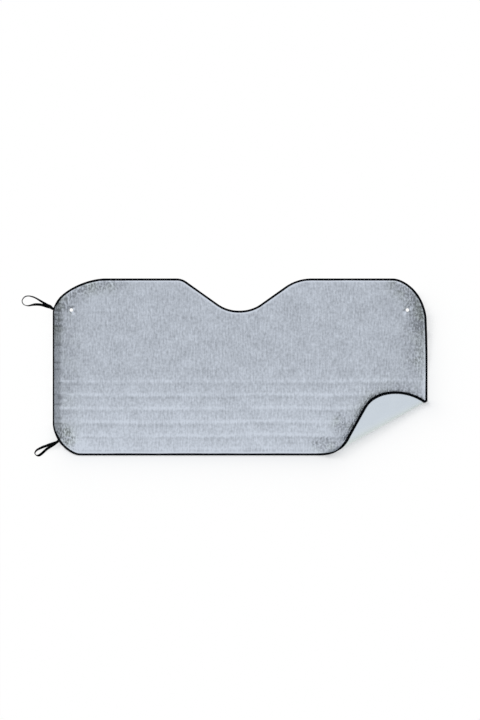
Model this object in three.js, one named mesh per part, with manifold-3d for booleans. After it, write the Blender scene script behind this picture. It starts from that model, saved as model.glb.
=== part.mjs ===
// Windscreen sunshade: a reflective bubble-foil sheet with a notch for the mirror,
// a sewn tape round its edge and two elastic loops that hold it when it is rolled up.
//
// Millimetres, +Z up. The sheet lies face up, X along its width and Y towards the
// notched edge. Its left edge and its upper right corner have kept a little of the
// roll it was stored in, and its lower right corner is curled over its front.
// The origin is under the middle of the whole part, on the surface it lies on.

import * as THREE from 'three';
import { mergeVertices } from 'three/addons/utils/BufferGeometryUtils.js';
import Module from 'manifold-3d';

const wasm = await Module();
wasm.setup();

const { cos, sin, abs, hypot, atan2, min, max } = Math;
const radians = THREE.MathUtils.degToRad;

// Sheet, flat, measured over its edge tape
const SHEET_WIDTH = 1275;
const SHEET_HEIGHT = 600;
const FOIL_THICKNESS = 2.4;

// Notch for the mirror's foot, between the sharp corners of its outline
const NOTCH_DEPTH = 109;
const NOTCH_TOP_WIDTH = 389;
const NOTCH_BOTTOM_WIDTH = 83;
const NOTCH_LEFT_SHOULDER_RADIUS = 58;
const NOTCH_RIGHT_SHOULDER_RADIUS = 156;
const NOTCH_BOTTOM_RADIUS = 121;

// Rounded corners: how far each reaches along X and Y, and how full its curve is
const TOP_LEFT = { reachX: 181, reachY: 116, fullness: 1.72 };
const TOP_RIGHT = { reachX: 116, reachY: 136, fullness: 1.71 };
const BOTTOM_LEFT = { reachX: 96, reachY: 108, fullness: 1.63 };
const BOTTOM_RIGHT = { reachX: 121, reachY: 153, fullness: 1.91 };

// Holes for suction cups
const CUP_HOLE_DIAMETER = 12;
const CUP_HOLE_FROM_SIDE = 68;
const CUP_HOLE_FROM_TOP = 107;

// Edge tape, folded over the edge of the foil and sewn through
const TAPE_THICKNESS = 0.7;
const TAPE_FRONT_WIDTH = 7;
const TAPE_BACK_WIDTH = 9;
const CLEARANCE = 0.5;

// Left edge: a soft rise, a crease and a straight lip
const LIP_LENGTH = 27;
const CREASE_LENGTH = 10;
const CREASE_TURN = 26;
const SOFT_RISE_LENGTH = 61;
const SOFT_RISE_TURN = 14;

// Right edge: it lifts most at the top and lies flat further down
const LIFT_LENGTH = 85;
const LIFT_TURN = 46;
const LIFT_FULL_FROM_TOP = 55;
const LIFT_ABOVE_CURL = 46;

// Curled corner: a cone whose axis runs from the bottom edge to the right edge
const CURL_ON_RIGHT_EDGE = 194;
const CURL_ON_BOTTOM_EDGE = 394;
const CURL_RADIUS_AT_BOTTOM = 26;
const CURL_RADIUS_AT_RIGHT = 7;
const CURL_TURN = 184;

// Elastic loops of flat braid, both ends sewn under the tape of the left edge, one under the other
const ELASTIC_WIDTH = 9;
const ELASTIC_THICKNESS = 1;
const ELASTIC_TAIL = 8;
const ELASTIC_BEYOND_EDGE = 4;
const ELASTIC_SPACING = 0.5;
const ELASTIC_LYING_CLEARANCE = 0.1;
const UPPER_LOOP_FROM_TOP = 103;
const LOWER_LOOP_FROM_BOTTOM = 49;

// How the loops lie, from one sewn end to the other. Each row is a place along X and Y from the
// edge of the sheet, a lift over where the braid would rest on the surface, and a twist from
// lying flat to standing on edge.
const UPPER_LOOP = [
  [-10, 7, 27.7, 6],
  [-21, 12, 21.9, 6],
  [-31.5, 18, 15.4, 25],
  [-39, 22.5, 11.2, 43],
  [-48, 28, 7.2, 48],
  [-60.5, 35.5, 4.2, 58],
  [-74, 41, 1.7, 61],
  [-87, 43.5, 0, 68],
  [-98, 41.5, 0, 63],
  [-105.5, 35, 0, 65],
  [-109, 26, 0, 68],
  [-105, 16.5, 0, 70],
  [-97, 11.5, 0, 78],
  [-86.5, 10.5, 0, 63],
  [-77, 12.5, 0.6, 52],
  [-65.5, 14.5, 2.5, 27],
  [-53, 14.5, 5.4, 18],
  [-42, 13, 8.8, 8],
  [-31.5, 10, 13.1, 6],
  [-21, 6.5, 19.5, 6],
  [-10.5, 4, 25.7, 6],
];
const LOWER_LOOP = [
  [-12, -5, 15.6, 6],
  [-22.5, -8.5, 12.7, 6],
  [-33, -12, 9.6, 8],
  [-44, -16.5, 6.6, 10],
  [-54.5, -20, 3.7, 16],
  [-65.5, -25, 1.5, 30],
  [-74, -29.5, 0, 42],
  [-79.5, -35, 0, 52],
  [-82, -41, 0, 60],
  [-79.5, -46.5, 0, 70],
  [-74, -49, 0, 52],
  [-67, -48, 0, 22],
  [-59, -42.5, 1, 9],
  [-50, -34.5, 3.3, 8],
  [-41.5, -27, 5.4, 8],
  [-33, -21.5, 7.9, 6],
  [-22.5, -15, 10.7, 6],
  [-12, -8, 13.5, 6],
];

// Fineness of the facets
const CHORD_ERROR = 0.08;
const LONGEST_SPAN = 120;
const CORNER_STEPS = 9;
const NOTCH_STEPS = 6;
const CURL_STEPS = 22;
const CREASE_STEPS = 4;
const LIFT_STEPS = 9;
const LIFT_ROWS = 14;
const HOLE_SIDES = 20;
const LOOP_STEPS = 54;
const SAME_POINT = 0.001;
const NO_TURN = 1e-9;
const ON_THE_LINE = 1e-6;

const RIGHT = SHEET_WIDTH / 2;
const TOP = SHEET_HEIGHT / 2;
const FOIL_HALF = FOIL_THICKNESS / 2;
const TAPE_INNER = FOIL_HALF + CLEARANCE;
const TAPE_OUTER = TAPE_INNER + TAPE_THICKNESS;
const FOIL_INSET = TAPE_THICKNESS + CLEARANCE;

// The line where the corner starts to curl, and the cone that it follows
const curl = (() => {
  const lineLength = hypot(CURL_ON_RIGHT_EDGE, CURL_ON_BOTTOM_EDGE);
  const alongX = CURL_ON_BOTTOM_EDGE / lineLength;
  const alongY = CURL_ON_RIGHT_EDGE / lineLength;
  const radiusGrowth = CURL_RADIUS_AT_BOTTOM - CURL_RADIUS_AT_RIGHT;
  const beyondEdge = lineLength * CURL_RADIUS_AT_RIGHT / radiusGrowth;
  const halfAngle = Math.asin(radiusGrowth / lineLength);
  const toLeft = new THREE.Vector3(-alongX, -alongY, 0);
  const outward = new THREE.Vector3(alongY, -alongX, 0);
  const up = new THREE.Vector3(0, 0, 1);
  const rimY = CURL_ON_RIGHT_EDGE - TOP;
  const apex = new THREE.Vector3(RIGHT, rimY, 0).addScaledVector(toLeft, -beyondEdge);
  const axis = toLeft.clone().multiplyScalar(cos(halfAngle)).addScaledVector(up, sin(halfAngle));
  const down = toLeft.clone().multiplyScalar(sin(halfAngle)).addScaledVector(up, -cos(halfAngle));
  return { apex, toLeft, outward, axis, down, halfAngle, turn: radians(CURL_TURN) };
})();

// Angle at the cone's apex between the curl's first line and a point of the flat sheet
function curlAngle(x, y) {
  const spoke = new THREE.Vector3(x, y, 0).sub(curl.apex);
  return atan2(spoke.dot(curl.outward), spoke.dot(curl.toLeft));
}

// Place of a point of the flat sheet once the corner is curled, with height above the foil
function curled(x, y, height) {
  const { apex, outward, axis, down, halfAngle, turn } = curl;
  const length = hypot(x - apex.x, y - apex.y);
  const angle = curlAngle(x, y);
  const roll = min(angle / sin(halfAngle), turn);
  const flatAngle = angle - roll * sin(halfAngle);
  const radial = down.clone().multiplyScalar(cos(roll)).addScaledVector(outward, sin(roll));
  const onward = down.clone().multiplyScalar(-sin(roll)).addScaledVector(outward, cos(roll));
  const ruling = axis.clone().multiplyScalar(cos(halfAngle)).addScaledVector(radial, sin(halfAngle));
  const normal = axis.clone().multiplyScalar(sin(halfAngle)).addScaledVector(radial, -cos(halfAngle));
  return apex.clone()
    .addScaledVector(ruling, length * cos(flatAngle))
    .addScaledVector(onward, length * sin(flatAngle))
    .addScaledVector(normal, height);
}

// Walk a distance over arcs and then straight on: how far along, how high and how steep
function walk(distance, arcs) {
  let left = distance;
  let run = 0;
  let rise = 0;
  let slope = 0;
  for (const { length, turn } of arcs) {
    const part = min(left, length);
    const bend = turn * part / length;
    if (abs(bend) < NO_TURN) {
      run += part * cos(slope);
      rise += part * sin(slope);
    } else {
      run += part / bend * (sin(slope + bend) - sin(slope));
      rise += part / bend * (cos(slope) - cos(slope + bend));
    }
    slope += bend;
    left -= part;
  }
  return { run: run + left * cos(slope), rise: rise + left * sin(slope), slope };
}

const LEFT_ARCS = [
  { length: SOFT_RISE_LENGTH, turn: radians(SOFT_RISE_TURN) },
  { length: CREASE_LENGTH, turn: radians(CREASE_TURN) },
];
const LEFT_START = -RIGHT + LIP_LENGTH + CREASE_LENGTH + SOFT_RISE_LENGTH;
const RIGHT_START = RIGHT - LIFT_LENGTH;

const LIFT_BOTTOM = CURL_ON_RIGHT_EDGE + LIFT_ABOVE_CURL - TOP;
const LIFT_TOP = TOP - LIFT_FULL_FROM_TOP;

// Share of the full lift that the right edge has at a height on the sheet
function liftShare(y) {
  return THREE.MathUtils.smoothstep(y, LIFT_BOTTOM, LIFT_TOP);
}

// Place of a point of the flat sheet in the sheet as it lies
function lie(x, y, height) {
  if (curlAngle(x, y) > 0) {
    return curled(x, y, height);
  }
  if (x < LEFT_START) {
    const { run, rise, slope } = walk(LEFT_START - x, LEFT_ARCS);
    return new THREE.Vector3(LEFT_START - run + height * sin(slope), y, rise + height * cos(slope));
  }
  if (x > RIGHT_START) {
    const arcs = [{ length: LIFT_LENGTH, turn: radians(LIFT_TURN) * liftShare(y) }];
    const { run, rise, slope } = walk(x - RIGHT_START, arcs);
    return new THREE.Vector3(RIGHT_START + run - height * sin(slope), y, rise + height * cos(slope));
  }
  return new THREE.Vector3(x, y, height);
}

// Points of one rounded corner, from its side edge to its top or bottom edge
function cornerPoints(signX, signY, { reachX, reachY, fullness }) {
  const points = [];
  for (let step = 0; step <= CORNER_STEPS; step++) {
    const angle = step / CORNER_STEPS * Math.PI / 2;
    const x = RIGHT - reachX + reachX * cos(angle) ** (2 / fullness);
    const y = TOP - reachY + reachY * sin(angle) ** (2 / fullness);
    points.push([signX * x, signY * y]);
  }
  return points;
}

// Arc that rounds the corner at b between a and c
function filletPoints(a, b, c, radius) {
  const before = [a[0] - b[0], a[1] - b[1]];
  const after = [c[0] - b[0], c[1] - b[1]];
  const start = atan2(before[1], before[0]);
  const cross = before[0] * after[1] - before[1] * after[0];
  const opening = atan2(cross, before[0] * after[0] + before[1] * after[1]);
  const side = Math.sign(opening);
  const toCentre = radius / sin(abs(opening) / 2);
  const centreX = b[0] + toCentre * cos(start + opening / 2);
  const centreY = b[1] + toCentre * sin(start + opening / 2);
  const sweep = Math.PI - abs(opening);
  const points = [];
  for (let step = 0; step <= NOTCH_STEPS; step++) {
    const angle = start - side * (Math.PI / 2 + sweep * step / NOTCH_STEPS);
    points.push([centreX + radius * cos(angle), centreY + radius * sin(angle)]);
  }
  return points;
}

// Outline of the flat sheet, anticlockwise from its lower left corner
function outlinePoints() {
  const floorY = TOP - NOTCH_DEPTH;
  const notch = [
    [RIGHT, TOP],
    [NOTCH_TOP_WIDTH / 2, TOP],
    [NOTCH_BOTTOM_WIDTH / 2, floorY],
    [-NOTCH_BOTTOM_WIDTH / 2, floorY],
    [-NOTCH_TOP_WIDTH / 2, TOP],
    [-RIGHT, TOP],
  ];
  return [
    ...cornerPoints(-1, -1, BOTTOM_LEFT),
    ...cornerPoints(1, -1, BOTTOM_RIGHT).reverse(),
    ...cornerPoints(1, 1, TOP_RIGHT),
    ...filletPoints(notch[0], notch[1], notch[2], NOTCH_RIGHT_SHOULDER_RADIUS),
    ...filletPoints(notch[1], notch[2], notch[3], NOTCH_BOTTOM_RADIUS),
    ...filletPoints(notch[2], notch[3], notch[4], NOTCH_BOTTOM_RADIUS),
    ...filletPoints(notch[3], notch[4], notch[5], NOTCH_LEFT_SHOULDER_RADIUS),
    ...cornerPoints(-1, 1, TOP_LEFT).reverse(),
  ];
}

// A station is a point of the outline and the way inwards from it, mitred
function stationAt(previous, point, next) {
  const inX = point[0] - previous[0];
  const inY = point[1] - previous[1];
  const outX = next[0] - point[0];
  const outY = next[1] - point[1];
  const first = [-inY / hypot(inX, inY), inX / hypot(inX, inY)];
  const second = [-outY / hypot(outX, outY), outX / hypot(outX, outY)];
  const dot = first[0] * second[0] + first[1] * second[1];
  return {
    x: point[0],
    y: point[1],
    inX: (first[0] + second[0]) / (1 + dot),
    inY: (first[1] + second[1]) / (1 + dot),
  };
}

function between(a, b, share) {
  const mix = (name) => a[name] + (b[name] - a[name]) * share;
  return { x: mix('x'), y: mix('y'), inX: mix('inX'), inY: mix('inY') };
}

// Point of the lying sheet, inset from a station of the outline
function inset(station, distance, height) {
  return lie(station.x + station.inX * distance, station.y + station.inY * distance, height);
}

// Stations between two others, closer together where the sheet bends
function refined(a, b) {
  const length = hypot(b.x - a.x, b.y - a.y);
  const error = max(...[0, TAPE_BACK_WIDTH].flatMap((distance) => {
    const start = inset(a, distance, 0);
    const end = inset(b, distance, 0);
    return [0.25, 0.5, 0.75].map((share) => {
      const chordPoint = start.clone().lerp(end, share);
      return chordPoint.distanceTo(inset(between(a, b, share), distance, 0));
    });
  }));
  if (length > LONGEST_SPAN || error > CHORD_ERROR) {
    const middle = between(a, b, 0.5);
    return [...refined(a, middle), ...refined(middle, b)];
  }
  return [a];
}

const stations = (() => {
  const points = outlinePoints().filter((point, i, all) => {
    const previous = all[(i + all.length - 1) % all.length];
    return hypot(point[0] - previous[0], point[1] - previous[1]) > SAME_POINT;
  });
  const corners = points.map((point, i) => {
    const previous = points[(i + points.length - 1) % points.length];
    return stationAt(previous, point, points[(i + 1) % points.length]);
  });
  return corners.flatMap((corner, i) => refined(corner, corners[(i + 1) % corners.length]));
})();

function solidFrom(positions, triangles) {
  const geometry = new THREE.BufferGeometry();
  geometry.setAttribute('position', new THREE.Float32BufferAttribute(positions, 3));
  geometry.setIndex(triangles);
  return geometry;
}

function toManifold(geometry) {
  const bare = geometry.clone();
  bare.deleteAttribute('normal');
  bare.deleteAttribute('uv');
  const merged = mergeVertices(bare, SAME_POINT);
  const mesh = new wasm.Mesh({
    numProp: 3,
    vertProperties: new Float32Array(merged.attributes.position.array),
    triVerts: new Uint32Array(merged.index.array),
  });
  return new wasm.Manifold(mesh);
}

function fromManifold(manifold) {
  const mesh = manifold.getMesh();
  return solidFrom(Array.from(mesh.vertProperties), Array.from(mesh.triVerts));
}

// Cut a convex cell of the flat sheet along the line where side() is zero
function cutCell(cell, side) {
  const values = cell.map(side);
  if (values.every((value) => value > -ON_THE_LINE) || values.every((value) => value < ON_THE_LINE)) {
    return [cell];
  }
  const positive = [];
  const negative = [];
  cell.forEach((point, i) => {
    const next = (i + 1) % cell.length;
    if (values[i] >= 0) positive.push(point);
    if (values[i] <= 0) negative.push(point);
    if (values[i] * values[next] < 0) {
      const share = values[i] / (values[i] - values[next]);
      const crossing = point.map((value, axis) => value + (cell[next][axis] - value) * share);
      positive.push(crossing);
      negative.push(crossing);
    }
  });
  return [positive, negative];
}

// Cut every cell that reaches past startX by the lines that side() tells of
function cutBeyond(cells, startX, sides) {
  let parts = cells;
  for (const side of sides) {
    parts = parts.flatMap((cell) => {
      const beyond = cell.every(([x]) => x > startX - SAME_POINT);
      return beyond ? cutCell(cell, side) : [cell];
    });
  }
  return parts;
}

function stepsOf(count, from, to) {
  return Array.from({ length: count + 1 }, (_, i) => from + (to - from) * i / count);
}

// The foil's flat outline, cut into cells along every line where it bends
function foilCells() {
  const outline = stations.map(({ x, y, inX, inY }) => [x + inX * FOIL_INSET, y + inY * FOIL_INSET]);
  const shoulderRadius = max(NOTCH_LEFT_SHOULDER_RADIUS, NOTCH_RIGHT_SHOULDER_RADIUS);
  const notchReach = NOTCH_TOP_WIDTH / 2 + shoulderRadius;
  const notchLines = outline.filter(([x, y]) => abs(x) < notchReach && y > 0).map(([x]) => x);
  const creaseStart = LEFT_START - SOFT_RISE_LENGTH;
  const uprights = [
    ...notchLines,
    ...stepsOf(CREASE_STEPS, LEFT_START, creaseStart),
    ...stepsOf(CREASE_STEPS, creaseStart, creaseStart - CREASE_LENGTH),
    ...stepsOf(LIFT_STEPS, RIGHT_START, RIGHT),
  ];
  const curlAngles = stepsOf(CURL_STEPS, 0, curl.turn * sin(curl.halfAngle));
  const liftHeights = stepsOf(LIFT_ROWS, LIFT_BOTTOM, LIFT_TOP);
  const columns = cutBeyond([outline], -RIGHT, uprights.map((line) => ([x]) => x - line));
  const curlCells = cutBeyond(columns, 0, curlAngles.map((angle) => ([x, y]) => curlAngle(x, y) - angle));
  return cutBeyond(curlCells, RIGHT_START, liftHeights.map((line) => ([, y]) => y - line));
}

const keyOf = ([x, y]) => `${x.toFixed(4)} ${y.toFixed(4)}`;

// Give each cell the corners that its neighbours have on its edges
function shareCorners(cells) {
  const corners = new Map();
  cells.flat().forEach((point) => corners.set(keyOf(point), point));
  const all = [...corners.values()];
  return cells.map((cell) => cell.flatMap((a, i) => {
    const b = cell[(i + 1) % cell.length];
    const length = hypot(b[0] - a[0], b[1] - a[1]);
    if (length < SAME_POINT / 10) return [];
    const along = ([x, y]) => ((x - a[0]) * (b[0] - a[0]) + (y - a[1]) * (b[1] - a[1])) / length;
    const across = ([x, y]) => ((x - a[0]) * (b[1] - a[1]) - (y - a[1]) * (b[0] - a[0])) / length;
    const inside = all.filter((p) => {
      return along(p) > SAME_POINT && along(p) < length - SAME_POINT && abs(across(p)) < SAME_POINT;
    });
    return [a, ...inside.sort((p, q) => along(p) - along(q))];
  }));
}

// Both faces of the foil over the cells, and a wall along every edge that has no neighbour
function foilGeometry() {
  const cells = shareCorners(foilCells());
  const positions = [];
  const triangles = [];
  const numbers = new Map();
  const vertex = (point, height) => {
    const key = `${keyOf(point)} ${height}`;
    if (!numbers.has(key)) {
      numbers.set(key, positions.length / 3);
      positions.push(...lie(point[0], point[1], height).toArray());
    }
    return numbers.get(key);
  };
  const edges = new Set();
  for (const cell of cells) {
    const centre = [0, 1].map((axis) => cell.reduce((sum, point) => sum + point[axis], 0) / cell.length);
    cell.forEach((point, i) => {
      const next = cell[(i + 1) % cell.length];
      triangles.push(vertex(centre, FOIL_HALF), vertex(point, FOIL_HALF), vertex(next, FOIL_HALF));
      triangles.push(vertex(centre, -FOIL_HALF), vertex(next, -FOIL_HALF), vertex(point, -FOIL_HALF));
      edges.add(`${keyOf(point)}|${keyOf(next)}`);
    });
  }
  for (const cell of cells) {
    cell.forEach((point, i) => {
      const next = cell[(i + 1) % cell.length];
      if (edges.has(`${keyOf(next)}|${keyOf(point)}`)) return;
      const [a, b] = [vertex(point, -FOIL_HALF), vertex(next, -FOIL_HALF)];
      const [c, d] = [vertex(next, FOIL_HALF), vertex(point, FOIL_HALF)];
      triangles.push(a, b, c, a, c, d);
    });
  }
  return solidFrom(positions, triangles);
}

// A round hole through the foil for a suction cup, on the left or right
function cupHole(side) {
  const x = side * (RIGHT - CUP_HOLE_FROM_SIDE);
  const y = TOP - CUP_HOLE_FROM_TOP;
  const centre = lie(x, y, 0);
  const normal = lie(x, y, 1).sub(centre);
  const radius = CUP_HOLE_DIAMETER / 2;
  const cutter = new THREE.CylinderGeometry(radius, radius, 10 * FOIL_THICKNESS, HOLE_SIDES);
  const turn = new THREE.Quaternion().setFromUnitVectors(new THREE.Vector3(0, 1, 0), normal);
  cutter.applyQuaternion(turn);
  cutter.translate(centre.x, centre.y, centre.z);
  return toManifold(cutter);
}

function reflectivePanelGeometry() {
  const sheet = toManifold(foilGeometry());
  return fromManifold(sheet.subtract(cupHole(-1)).subtract(cupHole(1)));
}

// Join rings of points, each of the same count, into one closed solid
function loftGeometry(rings, closed) {
  const count = rings[0].length;
  const positions = rings.flat().flatMap((point) => point.toArray());
  const triangles = [];
  const spans = closed ? rings.length : rings.length - 1;
  for (let i = 0; i < spans; i++) {
    const here = i * count;
    const there = ((i + 1) % rings.length) * count;
    for (let j = 0; j < count; j++) {
      const next = (j + 1) % count;
      triangles.push(here + j, there + j, there + next, here + j, there + next, here + next);
    }
  }
  if (!closed) {
    const last = (rings.length - 1) * count;
    for (let j = 1; j < count - 1; j++) {
      triangles.push(0, j, j + 1, last, last + j + 1, last + j);
    }
  }
  return solidFrom(positions, triangles);
}

// The tape: a U-shaped section carried round the whole outline
function edgeBindingGeometry() {
  const section = [
    [0, TAPE_OUTER],
    [TAPE_FRONT_WIDTH / 2, TAPE_OUTER],
    [TAPE_FRONT_WIDTH, TAPE_OUTER],
    [TAPE_FRONT_WIDTH, TAPE_INNER],
    [TAPE_FRONT_WIDTH / 2, TAPE_INNER],
    [TAPE_THICKNESS, TAPE_INNER],
    [TAPE_THICKNESS, -TAPE_INNER],
    [TAPE_BACK_WIDTH / 2, -TAPE_INNER],
    [TAPE_BACK_WIDTH, -TAPE_INNER],
    [TAPE_BACK_WIDTH, -TAPE_OUTER],
    [TAPE_BACK_WIDTH / 2, -TAPE_OUTER],
    [0, -TAPE_OUTER],
  ];
  const ringAt = (station) => section.map(([distance, height]) => inset(station, distance, height));
  return loftGeometry(stations.map(ringAt), true);
}

// The station of the left edge at a height on the sheet
function leftStation(y) {
  const spans = stations.map((a, i) => [a, stations[(i + 1) % stations.length]]);
  const [a, b] = spans.find(([from, to]) => from.x < -RIGHT / 2 && from.y >= y && to.y < y);
  return between(a, b, (a.y - y) / (a.y - b.y));
}

// A loop of braid, sewn under the tape at a height on the sheet and lying free beyond it
function elasticLoopGeometry(y, free) {
  const seat = leftStation(y);
  const edge = lie(seat.x, seat.y, 0);
  const inLength = hypot(seat.inX, seat.inY);
  const [inX, inY] = [seat.inX / inLength, seat.inY / inLength];
  const firstUnder = TAPE_OUTER + CLEARANCE + ELASTIC_THICKNESS / 2;
  const nextUnder = firstUnder + ELASTIC_THICKNESS + ELASTIC_SPACING;

  const tailPoint = (under, distance) => lie(seat.x + inX * distance, seat.y + inY * distance, -under);
  const lyingPoint = ([alongX, alongY, lift, twist]) => {
    const turned = radians(twist);
    const halfHeight = (ELASTIC_WIDTH * sin(turned) + ELASTIC_THICKNESS * cos(turned)) / 2;
    const height = halfHeight + ELASTIC_LYING_CLEARANCE + lift - TAPE_OUTER;
    return new THREE.Vector3(edge.x + alongX, edge.y + alongY, height);
  };
  const widthAt = (i) => {
    const before = lyingPoint(free[max(i - 1, 0)]);
    const after = lyingPoint(free[min(i + 1, free.length - 1)]);
    const flat = new THREE.Vector3(0, 0, 1).cross(after.sub(before)).normalize();
    const turned = radians(free[i][3]);
    return flat.multiplyScalar(cos(turned)).add(new THREE.Vector3(0, 0, sin(turned)));
  };
  const downEdge = lie(seat.x + inY, seat.y - inX, 0).sub(edge).normalize();
  const sewn = [ELASTIC_TAIL, 0, -ELASTIC_BEYOND_EDGE];
  const path = [
    ...sewn.map((distance) => tailPoint(firstUnder, distance)),
    ...free.map(lyingPoint),
    ...sewn.toReversed().map((distance) => tailPoint(nextUnder, distance)),
  ];
  const widths = [
    ...sewn.map(() => downEdge),
    ...free.map((_, i) => widthAt(i)),
    ...sewn.map(() => downEdge.clone().negate()),
  ];
  const line = new THREE.CatmullRomCurve3(path, false, 'centripetal');
  const turns = new THREE.CatmullRomCurve3(widths, false, 'catmullrom');
  const rings = stepsOf(LOOP_STEPS, 0, 1).map((t) => {
    const centre = line.getPoint(t);
    const tangent = line.getTangent(t);
    const thick = tangent.clone().cross(turns.getPoint(t)).normalize().multiplyScalar(ELASTIC_THICKNESS / 2);
    const wide = thick.clone().cross(tangent).normalize().multiplyScalar(ELASTIC_WIDTH / 2);
    return [[1, 1], [1, -1], [-1, -1], [-1, 1]].map(([a, b]) => {
      return centre.clone().addScaledVector(wide, a).addScaledVector(thick, b);
    });
  });
  return loftGeometry(rings, false);
}

const foilMaterial = new THREE.MeshStandardMaterial({ color: 0xb9c1ca, roughness: 0.35, metalness: 0.85 });
const tapeMaterial = new THREE.MeshStandardMaterial({ color: 0x15181c, roughness: 0.85, metalness: 0 });
const elasticMaterial = new THREE.MeshStandardMaterial({ color: 0x111316, roughness: 0.9, metalness: 0 });

function part(name, geometry, material) {
  geometry.computeVertexNormals();
  const mesh = new THREE.Mesh(geometry, material);
  mesh.name = name;
  return mesh;
}

const sunshade = new THREE.Group();
sunshade.add(part('reflective_panel', reflectivePanelGeometry(), foilMaterial));
sunshade.add(part('edge_binding', edgeBindingGeometry(), tapeMaterial));
const upperLoop = elasticLoopGeometry(TOP - UPPER_LOOP_FROM_TOP, UPPER_LOOP);
const lowerLoop = elasticLoopGeometry(LOWER_LOOP_FROM_BOTTOM - TOP, LOWER_LOOP);
sunshade.add(part('elastic_loop_upper', upperLoop, elasticMaterial));
sunshade.add(part('elastic_loop_lower', lowerLoop, elasticMaterial));

// Origin under the middle of the part, on the surface it lies on
const extent = new THREE.Box3().setFromObject(sunshade, true);
sunshade.position.set(-(extent.min.x + extent.max.x) / 2, -(extent.min.y + extent.max.y) / 2, -extent.min.z);

export default sunshade;
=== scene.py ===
# %% [markdown]
# # A windscreen sunshade, lying on a white table
#
# The real thing is a sheet of bubble foil. Two thin films are welded round rows of air
# bubbles, and the outer film carries aluminium, which throws the sun back. A woven tape is
# folded over the cut edge and sewn, and two loops of flat elastic keep the sheet rolled up.
# One corner has curled over, so its plain pale back shows.
#
# Everything here is built on the flat sheet, in millimetres, and then bent to the shape in
# which it lies. That way one bending rule serves the foil, the tape and the stitches.

import math

import bpy
import numpy as np
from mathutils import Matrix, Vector
from mathutils.bvhtree import BVHTree
from mathutils.geometry import delaunay_2d_cdt
from mathutils.kdtree import KDTree


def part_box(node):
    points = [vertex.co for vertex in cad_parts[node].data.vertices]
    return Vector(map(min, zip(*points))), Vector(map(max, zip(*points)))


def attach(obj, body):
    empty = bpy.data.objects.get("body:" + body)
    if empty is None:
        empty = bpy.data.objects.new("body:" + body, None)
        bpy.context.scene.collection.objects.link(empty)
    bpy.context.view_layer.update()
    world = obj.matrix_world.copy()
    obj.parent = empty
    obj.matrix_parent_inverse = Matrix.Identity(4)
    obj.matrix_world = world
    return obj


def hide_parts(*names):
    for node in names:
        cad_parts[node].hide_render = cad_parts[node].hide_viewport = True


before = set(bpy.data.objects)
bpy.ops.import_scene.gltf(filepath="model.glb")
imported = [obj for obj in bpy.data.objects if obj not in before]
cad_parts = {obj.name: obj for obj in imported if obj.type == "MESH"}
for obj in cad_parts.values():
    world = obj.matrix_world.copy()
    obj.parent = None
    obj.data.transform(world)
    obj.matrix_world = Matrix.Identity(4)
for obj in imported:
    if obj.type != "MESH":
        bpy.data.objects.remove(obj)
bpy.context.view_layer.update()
MM = 0.001
print("nodes in the frame:", sorted(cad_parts))

# %% [markdown]
# ## The flat sheet
#
# These are the sizes that the sheet was cut to. The corners are not plain arcs: a
# superellipse, whose fullness says how square it is, follows a hand-cut corner better.

# %% Sizes of the flat sheet, in millimetres
SHEET_WIDTH, SHEET_HEIGHT = 1275, 600
RIGHT, TOP = SHEET_WIDTH / 2, SHEET_HEIGHT / 2
FOIL_HALF = 1.2
NOTCH_DEPTH, NOTCH_TOP_WIDTH, NOTCH_BOTTOM_WIDTH = 109, 389, 83
NOTCH_RIGHT_SHOULDER, NOTCH_BOTTOM_RADIUS, NOTCH_LEFT_SHOULDER = 156, 121, 58
TOP_LEFT, TOP_RIGHT = (181, 116, 1.72), (116, 136, 1.71)
BOTTOM_LEFT, BOTTOM_RIGHT = (96, 108, 1.63), (121, 153, 1.91)
HOLE_RADIUS, HOLE_FROM_SIDE, HOLE_FROM_TOP = 6, 68, 107
HOLES = [np.array([side * (RIGHT - HOLE_FROM_SIDE), TOP - HOLE_FROM_TOP]) for side in (-1, 1)]
TAPE_OUTER = 2.4
TAPE_FRONT_WIDTH, TAPE_BACK_WIDTH = 7, 9
FOIL_INSET = 1.2
print(f"flat sheet {SHEET_WIDTH} x {SHEET_HEIGHT} mm, holes at {[tuple(h) for h in HOLES]}")

# %% [markdown]
# ## How the sheet lies
#
# Foil bends but hardly stretches, so every bend here is one that a flat sheet can make. The
# left edge and the upper right corner follow arcs. The lower right corner rolls round a
# cone: a cylinder would make its edge straight, and on a cone it comes out as the wavy line
# that the real corner shows. A cloth simulation could fold it too, but a sheet that holds
# its length exactly is easier to get from the geometry of the cone.

# %% Sizes of the bends, in millimetres and degrees
LEFT_ARCS = [(61, math.radians(14)), (10, math.radians(26))]
LIP_LENGTH = 27
LIFT_LENGTH, LIFT_TURN = 85, math.radians(46)
LIFT_FULL_FROM_TOP, LIFT_ABOVE_CURL = 55, 46
CURL_ON_RIGHT_EDGE, CURL_ON_BOTTOM_EDGE = 194, 394
CURL_RADIUS_AT_BOTTOM, CURL_RADIUS_AT_RIGHT, CURL_TURN = 26, 7, math.radians(184)
LEFT_START = -RIGHT + LIP_LENGTH + sum(length for length, _ in LEFT_ARCS)
RIGHT_START = RIGHT - LIFT_LENGTH

# %% [markdown]
# The cone's axis lies a little over the sheet. A point of the flat sheet is turned about
# the cone's tip until it meets the cone, and then rolls up with it.

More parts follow.
